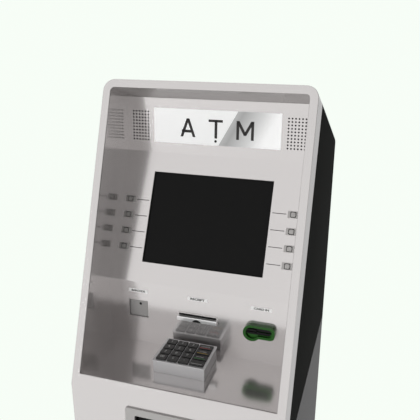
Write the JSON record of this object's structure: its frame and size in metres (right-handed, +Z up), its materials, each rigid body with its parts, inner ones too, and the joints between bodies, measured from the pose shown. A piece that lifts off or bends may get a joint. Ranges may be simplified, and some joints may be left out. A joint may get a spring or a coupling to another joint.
{
  "type": "atm machine",
  "caption": "Free-standing lobby cash machine: leaning light surround round a deep recess with lit sign, display, side keys, card and receipt slots, keypad; black cabinet over a safe.",
  "frame": {"origin": "centre of the cabinet's footprint on the floor", "axes": "+X to the user's right, +Y from the user into the machine, +Z up"},
  "size_m": [0.512, 0.7785, 1.597],
  "materials": {
    "light_paint": "satin paint, slight sheen",
    "black_steel": "semi-gloss powder coat",
    "safe_steel": "satin powder coat",
    "hinge_steel": "bare steel",
    "zinc_sheet": "zinc-plated sheet",
    "black_plastic": "matte",
    "white_plastic": "matte",
    "grey_plastic": "satin",
    "silver_plastic": "silver lacquer, satin",
    "cassette_plastic": "textured",
    "sign_acrylic": "translucent acrylic, gloss",
    "gloss_black": "gloss",
    "screen_glass": "dark coated glass, low gloss",
    "polished_metal": "polished",
    "lock_metal": "polished",
    "green_plastic": "translucent green, gloss",
    "keypad_metal": "brushed",
    "key_black": "satin",
    "paper": "thermal paper"
  },
  "bodies": {
    "cabinet": {"plinth": "black_steel", "safe_body": "safe_steel", "safe_hinges": "hinge_steel", "cabinet_shell": "black_steel", "cooling_fan": "black_plastic", "power_inlet": "black_plastic", "power_supply": "zinc_sheet", "computer_box": "zinc_sheet", "cash_dispenser": "zinc_sheet", "cash_cassettes": "cassette_plastic", "fascia_hinges": "hinge_steel"},
    "fascia": {"surround_frame": "light_paint", "recess_panel": "light_paint", "sign_lens": "sign_acrylic", "sign_light_box": "white_plastic", "pinhole_camera": "gloss_black", "speakers": "black_plastic", "display_glass": "screen_glass", "display_module": "zinc_sheet", "key_housings": "silver_plastic", "label_plates": "white_plastic", "scanner_window": "grey_plastic", "receipt_bezel": "polished_metal", "receipt_printer": "black_plastic", "card_bezel": "green_plastic", "card_reader": "black_plastic", "keypad_housing": "keypad_metal", "cash_bezel": "silver_plastic"},
    "safe_door": {"safe_door": "safe_steel"},
    "safe_handle": {"safe_handle": "polished_metal"},
    "locking_bolts": {"locking_bolts": "hinge_steel"},
    "combination_dial": {"combination_dial": "gloss_black"},
    "fascia_lock": {"fascia_lock": "lock_metal"},
    "cash_shutter": {"cash_shutter": "gloss_black"},
    "paper_roll": {"paper_roll": "paper"},
    "fan_rotor": {"fan_rotor": "black_plastic"},
    "function_key_l1": {"function_key_l1": "silver_plastic"},
    "function_key_l2": {"function_key_l2": "silver_plastic"},
    "function_key_l3": {"function_key_l3": "silver_plastic"},
    "function_key_l4": {"function_key_l4": "silver_plastic"},
    "function_key_r1": {"function_key_r1": "silver_plastic"},
    "function_key_r2": {"function_key_r2": "silver_plastic"},
    "function_key_r3": {"function_key_r3": "silver_plastic"},
    "function_key_r4": {"function_key_r4": "silver_plastic"},
    "pad_key_11": {"pad_key_11": "key_black"},
    "pad_key_12": {"pad_key_12": "key_black"},
    "pad_key_13": {"pad_key_13": "key_black"},
    "pad_key_14": {"pad_key_14": "key_black"},
    "pad_key_21": {"pad_key_21": "key_black"},
    "pad_key_22": {"pad_key_22": "key_black"},
    "pad_key_23": {"pad_key_23": "key_black"},
    "pad_key_24": {"pad_key_24": "key_black"},
    "pad_key_31": {"pad_key_31": "key_black"},
    "pad_key_32": {"pad_key_32": "key_black"},
    "pad_key_33": {"pad_key_33": "key_black"},
    "pad_key_34": {"pad_key_34": "key_black"},
    "pad_key_41": {"pad_key_41": "key_black"},
    "pad_key_42": {"pad_key_42": "key_black"},
    "pad_key_43": {"pad_key_43": "key_black"},
    "pad_key_44": {"pad_key_44": "key_black"}
  },
  "joints": [
    {"name": "fascia_hinge", "type": "hinge", "parent": "cabinet", "child": "fascia", "pos_m": [-0.253, -0.04244, 1.56816], "axis": [0, 0.3486, 0.9373], "range_deg": [-100, 0]},
    {"name": "safe_door_hinge", "type": "hinge", "parent": "cabinet", "child": "safe_door", "pos_m": [-0.253, -0.331, 0.5], "axis": [0, 0, 1], "range_deg": [-100, 0]},
    {"name": "safe_handle_turn", "type": "hinge", "parent": "safe_door", "child": "safe_handle", "pos_m": [0.07, -0.37, 0.56], "axis": [0, -1, 0], "range_deg": [-90, 0]},
    {"name": "locking_bolt_slide", "type": "slide", "parent": "safe_door", "child": "locking_bolts", "axis": [1, 0, 0], "range_m": [0, 0.018]},
    {"name": "combination_dial_turn", "type": "hinge", "parent": "safe_door", "child": "combination_dial", "pos_m": [-0.07, -0.37, 0.59], "axis": [0, -1, 0], "continuous": true},
    {"name": "fascia_lock_turn", "type": "hinge", "parent": "fascia", "child": "fascia_lock", "pos_m": [0.215, -0.37, 0.8628], "axis": [0, -1, 0], "range_deg": [-90, 0]},
    {"name": "cash_shutter_slide", "type": "slide", "parent": "fascia", "child": "cash_shutter", "axis": [0, 0, 1], "range_m": [0, 0.03]},
    {"name": "paper_roll_spin", "type": "hinge", "parent": "fascia", "child": "paper_roll", "pos_m": [0, -0.01, 1.006], "axis": [1, 0, 0], "continuous": true},
    {"name": "fan_spin", "type": "hinge", "parent": "cabinet", "child": "fan_rotor", "pos_m": [0.11, 0.355, 1.23], "axis": [0, 1, 0], "continuous": true},
    {"name": "function_key_l1_press", "type": "slide", "parent": "fascia", "child": "function_key_l1", "axis": [0, 0.9011, -0.4337], "range_m": [0, 0.0015], "stiffness_N_per_m": 400, "springref_m": -0.0015},
    {"name": "function_key_l2_press", "type": "slide", "parent": "fascia", "child": "function_key_l2", "axis": [0, 0.9011, -0.4337], "range_m": [0, 0.0015], "stiffness_N_per_m": 400, "springref_m": -0.0015},
    {"name": "function_key_l3_press", "type": "slide", "parent": "fascia", "child": "function_key_l3", "axis": [0, 0.9011, -0.4337], "range_m": [0, 0.0015], "stiffness_N_per_m": 400, "springref_m": -0.0015},
    {"name": "function_key_l4_press", "type": "slide", "parent": "fascia", "child": "function_key_l4", "axis": [0, 0.9011, -0.4337], "range_m": [0, 0.0015], "stiffness_N_per_m": 400, "springref_m": -0.0015},
    {"name": "function_key_r1_press", "type": "slide", "parent": "fascia", "child": "function_key_r1", "axis": [0, 0.9011, -0.4337], "range_m": [0, 0.0015], "stiffness_N_per_m": 400, "springref_m": -0.0015},
    {"name": "function_key_r2_press", "type": "slide", "parent": "fascia", "child": "function_key_r2", "axis": [0, 0.9011, -0.4337], "range_m": [0, 0.0015], "stiffness_N_per_m": 400, "springref_m": -0.0015},
    {"name": "function_key_r3_press", "type": "slide", "parent": "fascia", "child": "function_key_r3", "axis": [0, 0.9011, -0.4337], "range_m": [0, 0.0015], "stiffness_N_per_m": 400, "springref_m": -0.0015},
    {"name": "function_key_r4_press", "type": "slide", "parent": "fascia", "child": "function_key_r4", "axis": [0, 0.9011, -0.4337], "range_m": [0, 0.0015], "stiffness_N_per_m": 400, "springref_m": -0.0015},
    {"name": "pad_key_11_press", "type": "slide", "parent": "fascia", "child": "pad_key_11", "axis": [0, 0, -1], "range_m": [0, 0.002], "stiffness_N_per_m": 400, "springref_m": -0.0015},
    {"name": "pad_key_12_press", "type": "slide", "parent": "fascia", "child": "pad_key_12", "axis": [0, 0, -1], "range_m": [0, 0.002], "stiffness_N_per_m": 400, "springref_m": -0.0015},
    {"name": "pad_key_13_press", "type": "slide", "parent": "fascia", "child": "pad_key_13", "axis": [0, 0, -1], "range_m": [0, 0.002], "stiffness_N_per_m": 400, "springref_m": -0.0015},
    {"name": "pad_key_14_press", "type": "slide", "parent": "fascia", "child": "pad_key_14", "axis": [0, 0, -1], "range_m": [0, 0.002], "stiffness_N_per_m": 400, "springref_m": -0.0015},
    {"name": "pad_key_21_press", "type": "slide", "parent": "fascia", "child": "pad_key_21", "axis": [0, 0, -1], "range_m": [0, 0.002], "stiffness_N_per_m": 400, "springref_m": -0.0015},
    {"name": "pad_key_22_press", "type": "slide", "parent": "fascia", "child": "pad_key_22", "axis": [0, 0, -1], "range_m": [0, 0.002], "stiffness_N_per_m": 400, "springref_m": -0.0015},
    {"name": "pad_key_23_press", "type": "slide", "parent": "fascia", "child": "pad_key_23", "axis": [0, 0, -1], "range_m": [0, 0.002], "stiffness_N_per_m": 400, "springref_m": -0.0015},
    {"name": "pad_key_24_press", "type": "slide", "parent": "fascia", "child": "pad_key_24", "axis": [0, 0, -1], "range_m": [0, 0.002], "stiffness_N_per_m": 400, "springref_m": -0.0015},
    {"name": "pad_key_31_press", "type": "slide", "parent": "fascia", "child": "pad_key_31", "axis": [0, 0, -1], "range_m": [0, 0.002], "stiffness_N_per_m": 400, "springref_m": -0.0015},
    {"name": "pad_key_32_press", "type": "slide", "parent": "fascia", "child": "pad_key_32", "axis": [0, 0, -1], "range_m": [0, 0.002], "stiffness_N_per_m": 400, "springref_m": -0.0015},
    {"name": "pad_key_33_press", "type": "slide", "parent": "fascia", "child": "pad_key_33", "axis": [0, 0, -1], "range_m": [0, 0.002], "stiffness_N_per_m": 400, "springref_m": -0.0015},
    {"name": "pad_key_34_press", "type": "slide", "parent": "fascia", "child": "pad_key_34", "axis": [0, 0, -1], "range_m": [0, 0.002], "stiffness_N_per_m": 400, "springref_m": -0.0015},
    {"name": "pad_key_41_press", "type": "slide", "parent": "fascia", "child": "pad_key_41", "axis": [0, 0, -1], "range_m": [0, 0.002], "stiffness_N_per_m": 400, "springref_m": -0.0015},
    {"name": "pad_key_42_press", "type": "slide", "parent": "fascia", "child": "pad_key_42", "axis": [0, 0, -1], "range_m": [0, 0.002], "stiffness_N_per_m": 400, "springref_m": -0.0015},
    {"name": "pad_key_43_press", "type": "slide", "parent": "fascia", "child": "pad_key_43", "axis": [0, 0, -1], "range_m": [0, 0.002], "stiffness_N_per_m": 400, "springref_m": -0.0015},
    {"name": "pad_key_44_press", "type": "slide", "parent": "fascia", "child": "pad_key_44", "axis": [0, 0, -1], "range_m": [0, 0.002], "stiffness_N_per_m": 400, "springref_m": -0.0015}
  ],
  "couplings": [
    {"joint": "locking_bolt_slide", "follows": "safe_handle_turn", "m_per_rad": -0.01145}
  ]
}
